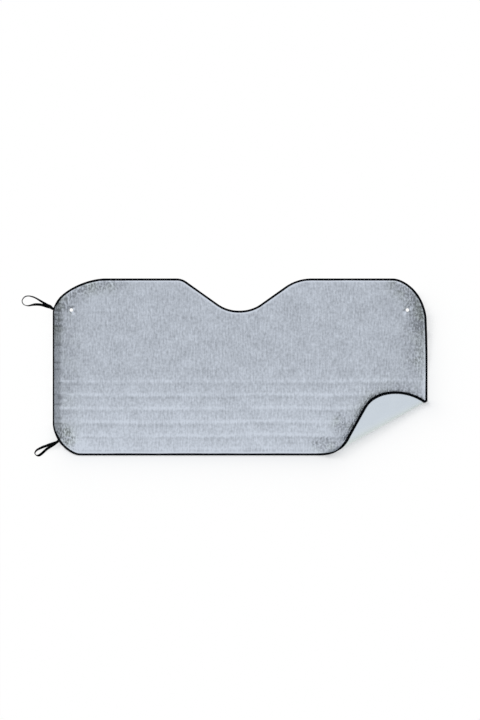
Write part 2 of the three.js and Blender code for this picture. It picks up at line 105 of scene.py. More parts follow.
# %% The cone of the curled corner
line_length = math.hypot(CURL_ON_RIGHT_EDGE, CURL_ON_BOTTOM_EDGE)
along = np.array([CURL_ON_BOTTOM_EDGE, CURL_ON_RIGHT_EDGE]) / line_length
growth = CURL_RADIUS_AT_BOTTOM - CURL_RADIUS_AT_RIGHT
half_angle = math.asin(growth / line_length)
to_left = np.array([-along[0], -along[1], 0.0])
outward = np.array([along[1], -along[0], 0.0])
up = np.array([0.0, 0.0, 1.0])
apex = np.array([RIGHT, CURL_ON_RIGHT_EDGE - TOP, 0.0])
apex = apex - to_left * line_length * CURL_RADIUS_AT_RIGHT / growth
cone_axis = to_left * math.cos(half_angle) + up * math.sin(half_angle)
cone_down = to_left * math.sin(half_angle) - up * math.cos(half_angle)
print(f"cone of {math.degrees(2 * half_angle):.2f} degrees across")


# %% Bend points of the flat sheet
shift = np.zeros(3)
ALMOST_STRAIGHT = 1e-7


def walk(distance, arcs):
    """How far along, how high and how steep a path is after some arcs and a straight end."""
    left, run, rise, slope = distance, 0.0, 0.0, 0.0
    for length, turn in arcs:
        part = np.minimum(left, length)
        bend = turn * part / length
        bend = np.where(np.abs(bend) < ALMOST_STRAIGHT, ALMOST_STRAIGHT, bend)
        run = run + part / bend * (np.sin(slope + bend) - np.sin(slope))
        rise = rise + part / bend * (np.cos(slope) - np.cos(slope + bend))
        slope = slope + bend
        left = left - part
    return run + left * np.cos(slope), rise + left * np.sin(slope), slope


def curl_angle(x, y):
    """Angle at the cone's tip from the curl's first line."""
    spoke = np.stack([x - apex[0], y - apex[1], 0 * x], -1)
    return np.arctan2(spoke @ outward, spoke @ to_left)


def smooth_step(value, start, end):
    """0 at start, 1 at end and smooth in between."""
    t = np.clip((value - start) / (end - start), 0, 1)
    return t * t * (3 - 2 * t)


def lie(x, y, height):
    """Where flat points (mm) lie in the frame (m), with a height above the foil's middle."""
    x, y, height = (np.array(a, float) for a in np.broadcast_arrays(x, y, height))
    place = np.stack([x, y, height], -1)
    angle = curl_angle(x, y)

    roll = np.minimum(angle / math.sin(half_angle), CURL_TURN)
    flat_angle = angle - roll * math.sin(half_angle)
    length = np.hypot(x - apex[0], y - apex[1])
    cos_roll, sin_roll = np.cos(roll)[..., None], np.sin(roll)[..., None]
    radial = cone_down * cos_roll + outward * sin_roll
    onward = outward * cos_roll - cone_down * sin_roll
    ruling = cone_axis * math.cos(half_angle) + radial * math.sin(half_angle)
    normal = cone_axis * math.sin(half_angle) - radial * math.cos(half_angle)
    rolled = apex + ruling * (length * np.cos(flat_angle))[..., None]
    rolled = rolled + onward * (length * np.sin(flat_angle))[..., None]
    rolled = rolled + normal * height[..., None]

    run, rise, slope = walk(np.maximum(LEFT_START - x, 0), LEFT_ARCS)
    left_x = LEFT_START - run + height * np.sin(slope)
    left = np.stack([left_x, y, rise + height * np.cos(slope)], -1)

    share = smooth_step(y, CURL_ON_RIGHT_EDGE + LIFT_ABOVE_CURL - TOP, TOP - LIFT_FULL_FROM_TOP)
    run, rise, slope = walk(np.maximum(x - RIGHT_START, 0), [(LIFT_LENGTH, LIFT_TURN * share)])
    right_x = RIGHT_START + run - height * np.sin(slope)
    right = np.stack([right_x, y, rise + height * np.cos(slope)], -1)

    place = np.where((x < LEFT_START)[..., None], left, place)
    place = np.where((x > RIGHT_START)[..., None], right, place)
    place = np.where((angle > 0)[..., None], rolled, place)
    return (place + shift) * MM


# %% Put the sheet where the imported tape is
tape_low, tape_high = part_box("edge_binding")
left_rim = lie(-RIGHT, 0, -TAPE_OUTER) / MM
shift = np.array([tape_low.x / MM - left_rim[0], tape_high.y / MM - TOP, TAPE_OUTER])
print("the middle of the flat sheet is at", shift.round(3), "mm")

# %% [markdown]
# ## The outline
#
# The outline is drawn once, densely, and then walked at an even pace. The tape, its
# stitches and the foil all take their places from it, a set distance inwards.

# %% Draw the outline of the flat sheet
CORNER_STEPS, ARC_STEPS = 60, 24


def corner(sign_x, sign_y, size):
    """A rounded corner, from its side edge to its top or bottom edge."""
    reach_x, reach_y, fullness = size
    angle = np.linspace(0, math.pi / 2, CORNER_STEPS)
    x = RIGHT - reach_x + reach_x * np.cos(angle) ** (2 / fullness)
    y = TOP - reach_y + reach_y * np.sin(angle) ** (2 / fullness)
    return np.stack([sign_x * x, sign_y * y], -1)


def fillet(before, point, after, radius):
    """An arc that rounds the corner at point."""
    a, b = (np.array(p, float) - point for p in (before, after))
    start = math.atan2(a[1], a[0])
    opening = math.atan2(a[0] * b[1] - a[1] * b[0], a @ b)
    to_centre = radius / math.sin(abs(opening) / 2)
    centre = np.array(point) + to_centre * np.array(
        [math.cos(start + opening / 2), math.sin(start + opening / 2)]
    )
    sweep = np.linspace(math.pi / 2, 1.5 * math.pi - abs(opening), ARC_STEPS)
    angle = start - math.copysign(1, opening) * sweep
    return centre + radius * np.stack([np.cos(angle), np.sin(angle)], -1)


def draw_outline():
    """The outline's points, anticlockwise from the lower left corner."""
    floor = TOP - NOTCH_DEPTH
    n = [(RIGHT, TOP), (NOTCH_TOP_WIDTH / 2, TOP), (NOTCH_BOTTOM_WIDTH / 2, floor)]
    n += [(-x, y) for x, y in reversed(n)]
    radii = [NOTCH_RIGHT_SHOULDER, NOTCH_BOTTOM_RADIUS, NOTCH_BOTTOM_RADIUS, NOTCH_LEFT_SHOULDER]
    notch = [fillet(n[i], n[i + 1], n[i + 2], radius) for i, radius in enumerate(radii)]
    return np.concatenate(
        [
            corner(-1, -1, BOTTOM_LEFT),
            corner(1, -1, BOTTOM_RIGHT)[::-1],
            corner(1, 1, TOP_RIGHT),
            *notch,
            corner(-1, 1, TOP_LEFT)[::-1],
        ]
    )


# %% Walk the outline at an even pace
STITCH_LENGTH = 3.4


def even_walk(points, step):
    """Points an even step apart on a closed line, and the way inwards at each."""
    closed = np.concatenate([points, points[:1]])
    travelled = np.concatenate([[0], np.cumsum(np.linalg.norm(np.diff(closed, axis=0), axis=1))])
    count = round(travelled[-1] / step)
    at = np.arange(count) * travelled[-1] / count
    walked = np.stack([np.interp(at, travelled, closed[:, axis]) for axis in (0, 1)], -1)
    tangent = np.roll(walked, -2, axis=0) - np.roll(walked, 2, axis=0)
    tangent /= np.linalg.norm(tangent, axis=1)[:, None]
    return walked, np.stack([-tangent[:, 1], tangent[:, 0]], -1), at


edge, inwards, edge_at = even_walk(draw_outline(), STITCH_LENGTH / 2)
perimeter = edge_at[-1] + edge_at[1]
print(f"outline of {perimeter:.0f} mm in {len(edge)} steps")


# %% [markdown]
# ## Small unevenness
#
# Real foil is never quite flat. It keeps a faint ripple across it from being rolled up, it
# puckers where the tape is sewn, and the punch left short creases round the holes. Each is
# a small height that is added before the sheet is bent, so it is real shape and shows from
# every side. The random numbers are seeded, so each run gives the same sheet.

# %% Smooth random lines and fields
NOISE_CELLS, NOISE_START = 64, 1000.5


def noise_line(at, wavelength, seed, period):
    """Smooth random values from -1 to 1 along a closed line."""
    count = max(4, round(period / wavelength))
    values = np.random.default_rng(seed).uniform(-1, 1, count)
    position = np.asarray(at) / period * count
    cell = np.floor(position).astype(int)
    t = smooth_step(position - cell, 0, 1)
    return values[cell % count] * (1 - t) + values[(cell + 1) % count] * t


def noise_field(x, y, size_x, size_y, seed):
    """Smooth random values from -1 to 1 over the sheet, with blobs of a set size."""
    grid = np.random.default_rng(seed).uniform(-1, 1, (NOISE_CELLS, NOISE_CELLS))
    px, py = x / size_x + NOISE_START, y / size_y + NOISE_START
    i, j = np.floor(px).astype(int), np.floor(py).astype(int)
    u, v = smooth_step(px - i, 0, 1), smooth_step(py - j, 0, 1)
    i2, j2 = (i + 1) % NOISE_CELLS, (j + 1) % NOISE_CELLS
    i, j = i % NOISE_CELLS, j % NOISE_CELLS
    low = grid[i, j] * (1 - u) + grid[i2, j] * u
    high = grid[i, j2] * (1 - u) + grid[i2, j2] * u
    return low * (1 - v) + high * v


# %% Find the nearest point of the outline
POINTS_AT_ONCE = 4000


def nearest_edge(x, y):
    """Distance to the outline, and how far round it the nearest point is."""
    points = np.stack([x, y], -1)
    coarse, coarse_at = edge[::2], edge_at[::2]
    distance, nearest = np.empty(len(x)), np.empty(len(x), int)
    for start in range(0, len(x), POINTS_AT_ONCE):
        part = slice(start, start + POINTS_AT_ONCE)
        gap = ((points[part, None, :] - coarse[None, :, :]) ** 2).sum(-1)
        nearest[part] = gap.argmin(1)
        distance[part] = np.sqrt(gap.min(1))
    return distance, coarse_at[nearest]


# %% Heights of ripples, puckers and creases
RIPPLE_SPACING, FIRST_RIPPLE = 45.8, -1.4
RIPPLE_HEIGHT = 0.28
SWELL_HEIGHT = 0.7
PUCKER_HEIGHT = 0.5
HOLE_CREASES = [
    # hole, direction in degrees, length, width, height
    (0, -62, 22, 4.5, 0.7),
    (0, 30, 16, 4.0, 0.4),
    (0, 150, 14, 4.0, -0.4),
    (1, 25, 26, 4.5, 0.7),
    (1, -125, 30, 4.5, 0.8),
    (1, 100, 14, 4.0, -0.4),
]


def along_crease(x, y, hole, direction):
    """How far flat points lie along a crease that starts at a hole, and to its side."""
    ahead = np.array([math.cos(math.radians(direction)), math.sin(math.radians(direction))])
    dx, dy = x - HOLES[hole][0], y - HOLES[hole][1]
    return dx * ahead[0] + dy * ahead[1], dx * ahead[1] - dy * ahead[0]


def ripple_phase(x, y):
    """Angle of the faint ripple across the sheet, 0 on each of its crests."""
    waver = noise_field(x, y, 120, 500, 4) * 3
    return (y - FIRST_RIPPLE + waver) * 2 * math.pi / RIPPLE_SPACING


def unevenness(x, y, from_edge, at):
    """Height in mm that both faces of the foil share, over the flat sheet."""
    inner = smooth_step(from_edge, 5, 60)
    swell = noise_field(x, y, 190, 120, 3) * SWELL_HEIGHT * inner
    lower = smooth_step(-y, -60, 130)
    ripple = np.cos(ripple_phase(x, y)) + 0.5 * np.sin(2 * ripple_phase(x, y))
    ripple = ripple * RIPPLE_HEIGHT * lower * inner * (0.7 + 0.3 * noise_field(x, y, 90, 60, 5))
    pucker = noise_line(at, 13, 6, perimeter) + 0.5 * noise_line(at, 6, 7, perimeter)
    at_left = smooth_step(-x, RIGHT - 40, RIGHT - 30)
    pucker = pucker * PUCKER_HEIGHT * (1 + 0.8 * at_left)
    pucker = pucker * np.exp(-from_edge / (9 + 12 * at_left)) * smooth_step(from_edge, 3, 9)
    creases = 0
    for hole, direction, length, width, height in HOLE_CREASES:
        reach, aside = along_crease(x, y, hole, direction)
        fade = smooth_step(reach, 2, 8) * (1 - smooth_step(reach, length * 0.4, length))
        creases = creases + height * fade * np.exp(-((aside / width) ** 2))
    return swell + ripple + pucker + creases


# %% [markdown]
# ## The bubble foil
#
# The bubbles are about 10 mm across and stand in staggered rows. They could be bump alone,
# but then the sheet would look flat from the side. So each bubble is nine points of a dense
# mesh: its top, a ring of six and two places in the valley between bubbles. A constrained
# Delaunay triangulation joins them, the outline and the holes into one sheet, and the back
# is a second, coarser one. Smooth shading makes a round dome of each small cone.

# %% Lay out the bubbles
BUBBLE_PITCH = 10.3
BUBBLE_ROW = 8.94
BUBBLE_RING = 4.1
BUBBLE_TOP, BUBBLE_FOOT, VALLEY = 1.95, 0.62, 0.45
RIM_HEIGHT = 1.15


def bubble_points():
    """Flat places of the bubbles' points, and the height of each."""
    rows = np.arange(-TOP, TOP, BUBBLE_ROW)
    columns = np.arange(-RIGHT - BUBBLE_PITCH, RIGHT + BUBBLE_PITCH, BUBBLE_PITCH)
    offset = (np.arange(len(rows)) % 2)[:, None] * BUBBLE_PITCH / 2
    x = (columns[None, :] + offset).ravel()
    y = np.repeat(rows, len(columns))
    ring = [(BUBBLE_RING, math.radians(60 * i), BUBBLE_FOOT) for i in range(6)]
    to_valley = BUBBLE_PITCH / math.sqrt(3)
    valleys = [(to_valley, math.radians(turn), VALLEY) for turn in (30, 90)]
    parts = [(0, 0, BUBBLE_TOP), *ring, *valleys]
    flat = [np.stack([x + r * math.cos(a), y + r * math.sin(a)], -1) for r, a, _ in parts]
    heights = [np.full(len(x), height) for _, _, height in parts]
    return np.concatenate(flat), np.concatenate(heights)


def inside(points, loop):
    """Which points are inside a closed loop."""
    a, b = loop, np.roll(loop, -1, axis=0)
    found = np.zeros(len(points), bool)
    for (ax, ay), (bx, by) in zip(a, b):
        if ay == by:
            continue
        crosses = (points[:, 1] < ay) != (points[:, 1] < by)
        found ^= crosses & (points[:, 0] < (bx - ax) * (points[:, 1] - ay) / (by - ay) + ax)
    return found


# %% Triangulate a face of the sheet
RIM_STEP = 3
SLIVER_AREA = 0.01
rim = (edge + inwards * FOIL_INSET)[::RIM_STEP]
HOLE_SIDES = 28
hole_angles = np.linspace(0, 2 * math.pi, HOLE_SIDES, endpoint=False)
hole_ring = np.stack([np.cos(hole_angles), np.sin(hole_angles)], -1)
hole_rims = [hole + HOLE_RADIUS * hole_ring for hole in HOLES]


def triangulate(inner):
    """Join the rim, the holes' rims and inner points into triangles of the flat sheet."""
    loops = [rim, *hole_rims]
    points = np.concatenate([*loops, inner])
    edges, start = [], 0
    for loop in loops:
        numbers = np.arange(start, start + len(loop))
        edges += list(zip(numbers.tolist(), np.roll(numbers, -1).tolist()))
        start += len(loop)
    made = delaunay_2d_cdt([Vector(p) for p in points], edges, [], 0, 1e-5)
    flat = np.array([tuple(p) for p in made[0]])
    triangles = np.array(made[2])
    middle = flat[triangles].mean(1)
    a, b, c = (flat[triangles[:, k]] for k in range(3))
    doubled = np.abs((b - a)[:, 0] * (c - a)[:, 1] - (b - a)[:, 1] * (c - a)[:, 0])
    keep = inside(middle, rim) & (doubled > 2 * SLIVER_AREA)
    for hole in HOLES:
        keep &= np.linalg.norm(middle - hole, axis=1) > HOLE_RADIUS * math.cos(math.pi / HOLE_SIDES)
    origin = [numbers[0] if numbers else -1 for numbers in made[3]]
    return flat, triangles[keep], np.array(origin)


# %% Triangulate the front
FRONT_RIM_GAP, HOLE_GAP, COLLAR_GAP = 2, 3, 1.5
lattice, lattice_height = bubble_points()
keep = inside(lattice, edge)
lattice, lattice_height = lattice[keep], lattice_height[keep]
from_edge, _ = nearest_edge(*lattice.T)
from_hole = np.min([np.linalg.norm(lattice - hole, axis=1) for hole in HOLES], axis=0)
keep = (from_edge > FOIL_INSET + FRONT_RIM_GAP) & (from_hole > HOLE_RADIUS + HOLE_GAP)
lattice, lattice_height = lattice[keep], lattice_height[keep]
collars = [hole + (HOLE_RADIUS + COLLAR_GAP) * hole_ring for hole in HOLES]
front_inner = np.concatenate([lattice, *collars])
front_flat, front_triangles, front_origin = triangulate(front_inner)
print(f"front: {len(front_flat)} points, {len(front_triangles)} triangles")

# %% Give the front its heights
BLOWN_UNEVENLY, BLOWN_IN_PATCHES, PATCH = 0.22, 0.15, 40
fixed = len(rim) + sum(len(r) for r in hole_rims)
at_rims, at_collars = np.full(fixed, RIM_HEIGHT), np.full(2 * HOLE_SIDES, RIM_HEIGHT)
level = np.concatenate([at_rims, lattice_height, at_collars])
front_level = level[front_origin]
front_edge, front_at = nearest_edge(*front_flat.T)
front_hole = np.min([np.linalg.norm(front_flat - hole, axis=1) for hole in HOLES], axis=0)
full = smooth_step(front_edge, 5, 11) * smooth_step(front_hole, HOLE_RADIUS + 1, HOLE_RADIUS + 6)
blown = 1 + BLOWN_UNEVENLY * noise_field(*front_flat.T, BUBBLE_PITCH, BUBBLE_ROW, 8)
blown = blown * (1 + BLOWN_IN_PATCHES * noise_field(*front_flat.T, PATCH, PATCH, 9))
front_height = RIM_HEIGHT + (VALLEY + (front_level - VALLEY) * blown - RIM_HEIGHT) * full
shared = unevenness(*front_flat.T, front_edge, front_at)
front_place = lie(*front_flat.T, front_height + shared)
print(f"front: {front_height.min():.2f} to {front_height.max():.2f} mm over the middle of the foil")

# %% Lay out the back, closer together where the sheet bends
BACK_STEP = 22
BACK_RIM_GAP = 3
BEFORE_CURL = 0.01


def back_points():
    """Inner points of the back: a wide grid, and a closer one where the sheet bends."""
    fine = BACK_STEP / 3
    grids = np.meshgrid(np.arange(-RIGHT, RIGHT, fine), np.arange(-TOP, TOP, fine))
    x, y = (grid.ravel() for grid in grids)
    column = np.round((x + RIGHT) / fine).astype(int)
    row = np.round((y + TOP) / fine).astype(int)
    bends = (x < LEFT_START + fine) | (x > RIGHT_START) | (curl_angle(x, y) > -BEFORE_CURL)
    wanted = bends | ((column % 3 == 0) & (row % 3 == 0))
    points = np.stack([x, y], -1)[wanted]
    points = points[inside(points, edge)]
    distance, _ = nearest_edge(*points.T)
    gap = np.min([np.linalg.norm(points - hole, axis=1) for hole in HOLES], axis=0)
    return points[(distance > FOIL_INSET + BACK_RIM_GAP) & (gap > HOLE_RADIUS + HOLE_GAP)]


back_flat, back_triangles, back_origin = triangulate(back_points())
back_edge, back_at = nearest_edge(*back_flat.T)
back_place = lie(*back_flat.T, unevenness(*back_flat.T, back_edge, back_at) * 0.8 - FOIL_HALF)
print(f"back: {len(back_flat)} points, {len(back_triangles)} triangles")


# %% A mesh object from points, faces and flat coordinates
def mesh_object(name, places, faces, flat=None, face_materials=None, masks=None):
    """A smooth mesh. Its UV layer holds flat places in metres, and each mask is an attribute."""
    mesh = bpy.data.meshes.new(name)
    mesh.from_pydata(places.tolist(), [], [tuple(face) for face in faces])
    if flat is not None:
        corners = np.array([loop.vertex_index for loop in mesh.loops])
        layer = mesh.uv_layers.new(name="flat")
        layer.data.foreach_set("uv", (flat[corners] * MM).astype(np.float32).ravel())
    if face_materials is not None:
        mesh.polygons.foreach_set("material_index", np.asarray(face_materials, np.int32))
    for mask, values in (masks or {}).items():
        attribute = mesh.attributes.new(mask, "FLOAT", "POINT")
        attribute.data.foreach_set("value", np.asarray(values, np.float32))
    mesh.shade_smooth()
    mesh.update()
    made = bpy.data.objects.new(name, mesh)
    bpy.context.scene.collection.objects.link(made)
    return made


# %% [markdown]
# ## Where the film is worn, and where light and shade are painted
#
# The film has not aged alike all over. It is finely crumpled where the sheet was bent and handled:
# at the right edge and in three corners. Beside the curl the same darker grain is painted shade. A
# painted highlight runs along the tape, on the creases at the holes, in one corner and along the
# lower right edge; the ripples of the lower half get a painted highlight on their crests and
# painted shade below them, and the bent-up edges get painted shade. Each of these is a
# mask over the flat sheet, from 0 to 1, stored on the mesh as an attribute, so the shader can read
# it. Painting them by hand would be another way, but
# a formula stays with the sheet when a size changes. The numbers below are places and
# widths in millimetres on the flat sheet, and strengths.

# %% Find what is near
def nearest_of(points, wanted):
    """For each wanted place, the number of the nearest of some points, all in plan."""
    finder = KDTree(len(points))
    for i, (px, py) in enumerate(points):
        finder.insert((px, py, 0), i)
    finder.balance()
    return np.array([finder.find((px, py, 0))[1] for px, py in wanted])


FAR = 1000


def beside_curl(x, y):
    """Distance in mm, in plan, from flat points to the free edge of the curled corner."""
    on_flap = edge[curl_angle(*edge.T) / math.sin(half_angle) > math.pi / 2]
    free_edge = (lie(*on_flap.T, 0) / MM - shift)[:, :2]
    places = np.stack([x, y], -1)
    distance = np.linalg.norm(free_edge[nearest_of(free_edge, places)] - places, axis=1)
    return np.where(curl_angle(x, y) > 0, FAR, distance)


def around_holes(x, y):
    """Dark crumples round the holes, and a painted highlight along the creases that the punch left.
    """
    dark, pale = 0, 0
    for hole in HOLES:
        gap = np.hypot(x - hole[0], y - hole[1])
        dark = np.maximum(dark, np.exp(-(((gap - HOLE_RADIUS - 5) / 4.5) ** 2)))
    for hole, direction, length, width, height in HOLE_CREASES:
        reach, aside = along_crease(x, y, hole, direction)
        line = smooth_step(reach, 5, 9) * (1 - smooth_step(reach, length * 0.6, length))
        pale = np.maximum(pale, (height > 0) * line * np.exp(-((aside / width) ** 2)))
    return dark * (1 - pale), pale


# %% Masks of the front film
def crumple_and_shade_places(x, y, from_edge, lip):
    """Where the film is finely crumpled, and beside the curl, where the darkening is painted shade,
    from 0 to 1.
    """
    right = 0.6 * smooth_step(x, RIGHT - 115, RIGHT - 20)
    right = right * (0.12 + 0.88 * smooth_step(y, -110, 60))
    top_right = smooth_step(-from_edge, -95, -12) * smooth_step(x, 470, 575)
    top_right = top_right * smooth_step(y, 20, 130)
    top_left = smooth_step(-from_edge, -68, -8) * smooth_step(-x, 330, 480)
    top_left = top_left * smooth_step(y, 30, 150)
    bottom_left = 1 - smooth_step(np.hypot(x + 604, y + 246), 25, 80)
    left = 0.24 * smooth_step(-x, RIGHT - 130, RIGHT - 45) * (1 - 0.7 * lip)
    corners = [right, top_right, top_left, bottom_left, left]
    # Painted shade beside the curl's free edge; at the curl's foot the darker grain is crumple and
    # painted shade together.
    by_curl = 0.85 * np.exp(-beside_curl(x, y) / 22)
    by_curl_foot = 0.6 * (1 - smooth_step(np.hypot(x - 290, (y + 262) * 1.6), 20, 75))
    above_foot = 0.7 * (1 - smooth_step(np.hypot(x - 341, (y + 197) * 0.7), 12, 42))
    most = np.max([*corners, by_curl, by_curl_foot, above_foot, around_holes(x, y)[0]], axis=0)
    return np.clip(most * (0.9 + 0.25 * noise_field(x, y, 38, 30, 21)), 0, 1)


def painted_highlight_places(x, y, from_edge):
    """Painted highlight along the tape, on the creases at the holes, in one corner and along the
    lower right edge.
    """
    rim_line = np.exp(-(((from_edge - 9.4) / 2.5) ** 2))
    rim_line = rim_line * (1 - smooth_step(-x, RIGHT - 60, RIGHT - 30))
    bright_rim = 1 + 0.9 * smooth_step(-y, 220, 280) * smooth_step(-x, 330, 420)
    pale_corner = 0.45 * (1 - smooth_step(np.hypot(x + 548, y + 262), 10, 48))
    right_rim = 0.38 * np.exp(-(((from_edge - 13) / 7) ** 2))
    right_rim = right_rim * smooth_step(x, RIGHT - 60, RIGHT - 30) * smooth_step(-y, -70, 20)
    crease_highlight = around_holes(x, y)[1]
    return np.max([rim_line * bright_rim, crease_highlight, pale_corner, right_rim], axis=0)


def painted_ripple_light(x, y, from_edge):
    """Painted highlight on the crests of the ripples, above 0.5, and painted shade on the feet
    below them.
    """
    phase = ripple_phase(x, y)
    crest = (0.5 + 0.5 * np.cos(phase)) ** 5 - 0.6 * (0.5 + 0.5 * np.cos(phase + 1.3)) ** 5
    long_patches = 0.75 + 0.45 * noise_field(x, y, 110, 25, 22)
    strength = smooth_step(-y, -25, 60) * smooth_step(from_edge, 8, 30)
    return 0.5 + 0.5 * crest * long_patches * strength


def shaded_places(x, y, lip):
    """Painted shade where the sheet is bent up, or starts to be, and turns from the light."""
    bent_up = smooth_step(x, RIGHT - 125, RIGHT - 20) * smooth_step(y, 30, 130)
    bent_up = bent_up * (0.75 + 0.35 * noise_field(x, y, 28, 45, 23))
    beside_lip = 0.28 * smooth_step(-x, RIGHT - 130, RIGHT - 60) * (1 - lip)
    before_lift = 0.25 * smooth_step(x, RIGHT - 210, RIGHT - 120) * smooth_step(y, -160, -60)
    return np.max([bent_up, beside_lip, before_lift], axis=0)


def film_masks(x, y, from_edge):
    """All masks of the front film. The lip is the turned-up left edge, which is painted darker in
    streaks.
    """
    lip = smooth_step(-x, RIGHT - 42, RIGHT - 33)
    return {
        "crumple_and_shade": crumple_and_shade_places(x, y, from_edge, lip),
        "painted_highlight": painted_highlight_places(x, y, from_edge),
        "ripple_light": painted_ripple_light(x, y, from_edge),
        "lip": lip,
        "shaded": shaded_places(x, y, lip),
    }


def painted_light_on_fold(x, y):
    """Painted light where the back film turns over the fold of the curl."""
    roll = np.degrees(curl_angle(x, y) / math.sin(half_angle))
    return np.exp(-(((roll - 110) / 55) ** 2))


masks = film_masks(*front_flat.T, front_edge)
for name, values in masks.items():
    masks[name] = np.concatenate([values, np.zeros(len(back_flat))])
    print(f"mask {name}: {values.mean():.2f} on average")
# The back has a mask of its own: painted light along the fold.
masks["fold"] = np.concatenate([np.zeros(len(front_flat)), painted_light_on_fold(*back_flat.T)])

# %% Close the foil with walls along its rims
def rim_walls(front_numbers, back_numbers):
    """Two triangles for each step of a rim, from the front face to the back face."""
    walls = []
    for i in range(len(front_numbers)):
        j = (i + 1) % len(front_numbers)
        a, b = front_numbers[i], front_numbers[j]
        c, d = back_numbers[j], back_numbers[i]
        walls += [(a, c, b), (a, d, c)]
    return walls


front_number = {origin: i for i, origin in enumerate(front_origin.tolist())}
back_number = {origin: i + len(front_flat) for i, origin in enumerate(back_origin.tolist())}
walls, start = [], 0
for loop in [rim, *hole_rims]:
    numbers = list(range(start, start + len(loop)))
    made = rim_walls([front_number[n] for n in numbers], [back_number[n] for n in numbers])
    walls += made if loop is rim else [tuple(reversed(wall)) for wall in made]
    start += len(loop)
panel_faces = [tuple(t) for t in front_triangles.tolist()]
panel_faces += [tuple(t) for t in (back_triangles[:, ::-1] + len(front_flat)).tolist()] + walls
panel = mesh_object(
    "bubble_foil",
    np.concatenate([front_place, back_place]),
    panel_faces,
    flat=np.concatenate([front_flat, back_flat]),
    face_materials=[0] * len(front_triangles) + [1] * (len(panel_faces) - len(front_triangles)),
    masks=masks,
)
print(f"bubble foil: {len(panel_faces)} triangles")

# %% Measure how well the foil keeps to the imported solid
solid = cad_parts["reflective_panel"]
tree = BVHTree.FromObject(solid, bpy.context.evaluated_depsgraph_get())
sample = [Vector(p) for p in front_place[::40]]
gaps = [tree.find_nearest(point)[3] / MM for point in sample]
print(f"foil to packed solid: {np.mean(gaps):.2f} mm on average, {max(gaps):.2f} mm at most")

# %% [markdown]
# ## The edge tape
#
# The tape is a woven ribbon folded over the foil's edge and sewn through. A curve with a
# bevel could carry its section, but it would not follow the bent foil. So the U-shaped
# section is carried round the outline on the flat sheet, with a dip at each needle hole and
# a little slack, and then bent with the foil. Along the turned-up left edge the fold was sewn
# off its middle, so less of the tape shows on the front.


# %% Carry a section round the outline
STITCH_INSET, STITCH_HEIGHT, STITCH_DIP = 3.3, 2.02, 0.22
SLACK_DEPTH = 0.07
TAPE_SECTION = [
    # inwards from the edge, height over the middle of the foil
    (TAPE_FRONT_WIDTH, 1.72), (TAPE_FRONT_WIDTH, 2.12), (6.6, 2.32), (4.9, 2.3),
    (STITCH_INSET, STITCH_HEIGHT), (1.7, 2.3), (0.8, 2.26), (0.22, 1.7), (0.0, 0.8),
    (0.0, -0.8), (0.22, -1.7), (0.8, -2.26), (1.7, -2.3), (STITCH_INSET, -STITCH_HEIGHT),
    (5.6, -2.34), (8.4, -2.34), (TAPE_BACK_WIDTH, -2.12), (TAPE_BACK_WIDTH, -1.72),
    # back along the inside of the fold
    (5.0, -1.71), (1.1, -1.7), (0.75, 0.0), (1.1, 1.7), (4.0, 1.71),
]
OUTER_POINTS = 18
FRONT_KEPT_AT_LEFT = 0.2


def tape_mesh():
    """The folded tape: its places, its faces and its flat coordinates."""
    section = np.array(TAPE_SECTION)
    count, sides = len(edge), len(section)
    between = (np.arange(count) % 2)[:, None]
    near_stitch = np.exp(-(((section[:, 0] - STITCH_INSET) / 1.6) ** 2))[None, :]
    outer = (np.arange(sides) < OUTER_POINTS)[None, :]
    outwards = np.sign(section[:, 1])[None, :] * outer
    dip = STITCH_DIP * near_stitch * (1 - between) * outwards
    slack = noise_line(edge_at, 11, 12, perimeter)[:, None]
    wander = 0.35 * noise_line(edge_at, 60, 13, perimeter)[:, None] * (section[:, 0] > 5)[None, :]
    distance = section[:, 0][None, :] + wander
    beyond_seam = np.maximum(distance - STITCH_INSET, 0) * (section[:, 1] > 0)[None, :]
    at_left = smooth_step(-edge[:, :1], RIGHT - 14, RIGHT - 4)
    distance = distance - beyond_seam * at_left * (1 - FRONT_KEPT_AT_LEFT)
    height = section[:, 1][None, :] - dip - SLACK_DEPTH * (1 + slack) * outwards
    x = edge[:, :1] + inwards[:, :1] * distance
    y = edge[:, 1:] + inwards[:, 1:] * distance
    places = lie(x, y, height).reshape(-1, 3)
    lengths = np.linalg.norm(np.diff(section, axis=0), axis=1)
    across = np.concatenate([[0], np.cumsum(lengths)])
    flat = np.stack(np.broadcast_arrays(edge_at[:, None], across[None, :]), -1).reshape(-1, 2)
    faces = []
    for i in range(count):
        for j in range(sides):
            here, there = i * sides, (i + 1) % count * sides
            faces.append((here + j, here + (j + 1) % sides, there + (j + 1) % sides, there + j))
    return places, faces, flat


tape_places, tape_faces, tape_flat = tape_mesh()
tape = mesh_object("edge_tape", tape_places, tape_faces, flat=tape_flat)
print(f"edge tape: {2 * len(tape_faces)} triangles")

# %% [markdown]
# ## The stitches
#
# A lockstitch machine leaves a row of short threads on each face, with a needle hole at
# each end. Each thread here is a small spindle whose ends dive into the tape.

# %% Sew round the tape
THREAD_RADIUS = 0.24
SPINDLE = [
    # share of the length, height in mm, fullness
    (-0.5, -0.3, 0.35), (-0.3, 0.12, 1.0), (0.0, 0.2, 1.05), (0.3, 0.12, 1.0), (0.5, -0.3, 0.35),
]
THREAD_SIDES = 6
STITCH_SHARE = 0.82


def stitch_rings(centre, ahead, aside, face, length):
    """Rings of one stitch on the flat sheet: x, y and height over the foil's middle."""
    rings = []
    for share, lift, fullness in SPINDLE:
        for k in range(THREAD_SIDES):
            turn = 2 * math.pi * k / THREAD_SIDES
            side = THREAD_RADIUS * fullness * math.cos(turn)
            over = face * (STITCH_HEIGHT + lift + THREAD_RADIUS * fullness * math.sin(turn))
            flat = centre + ahead * share * length + aside * side
            rings.append((flat[0], flat[1], over))
    return rings


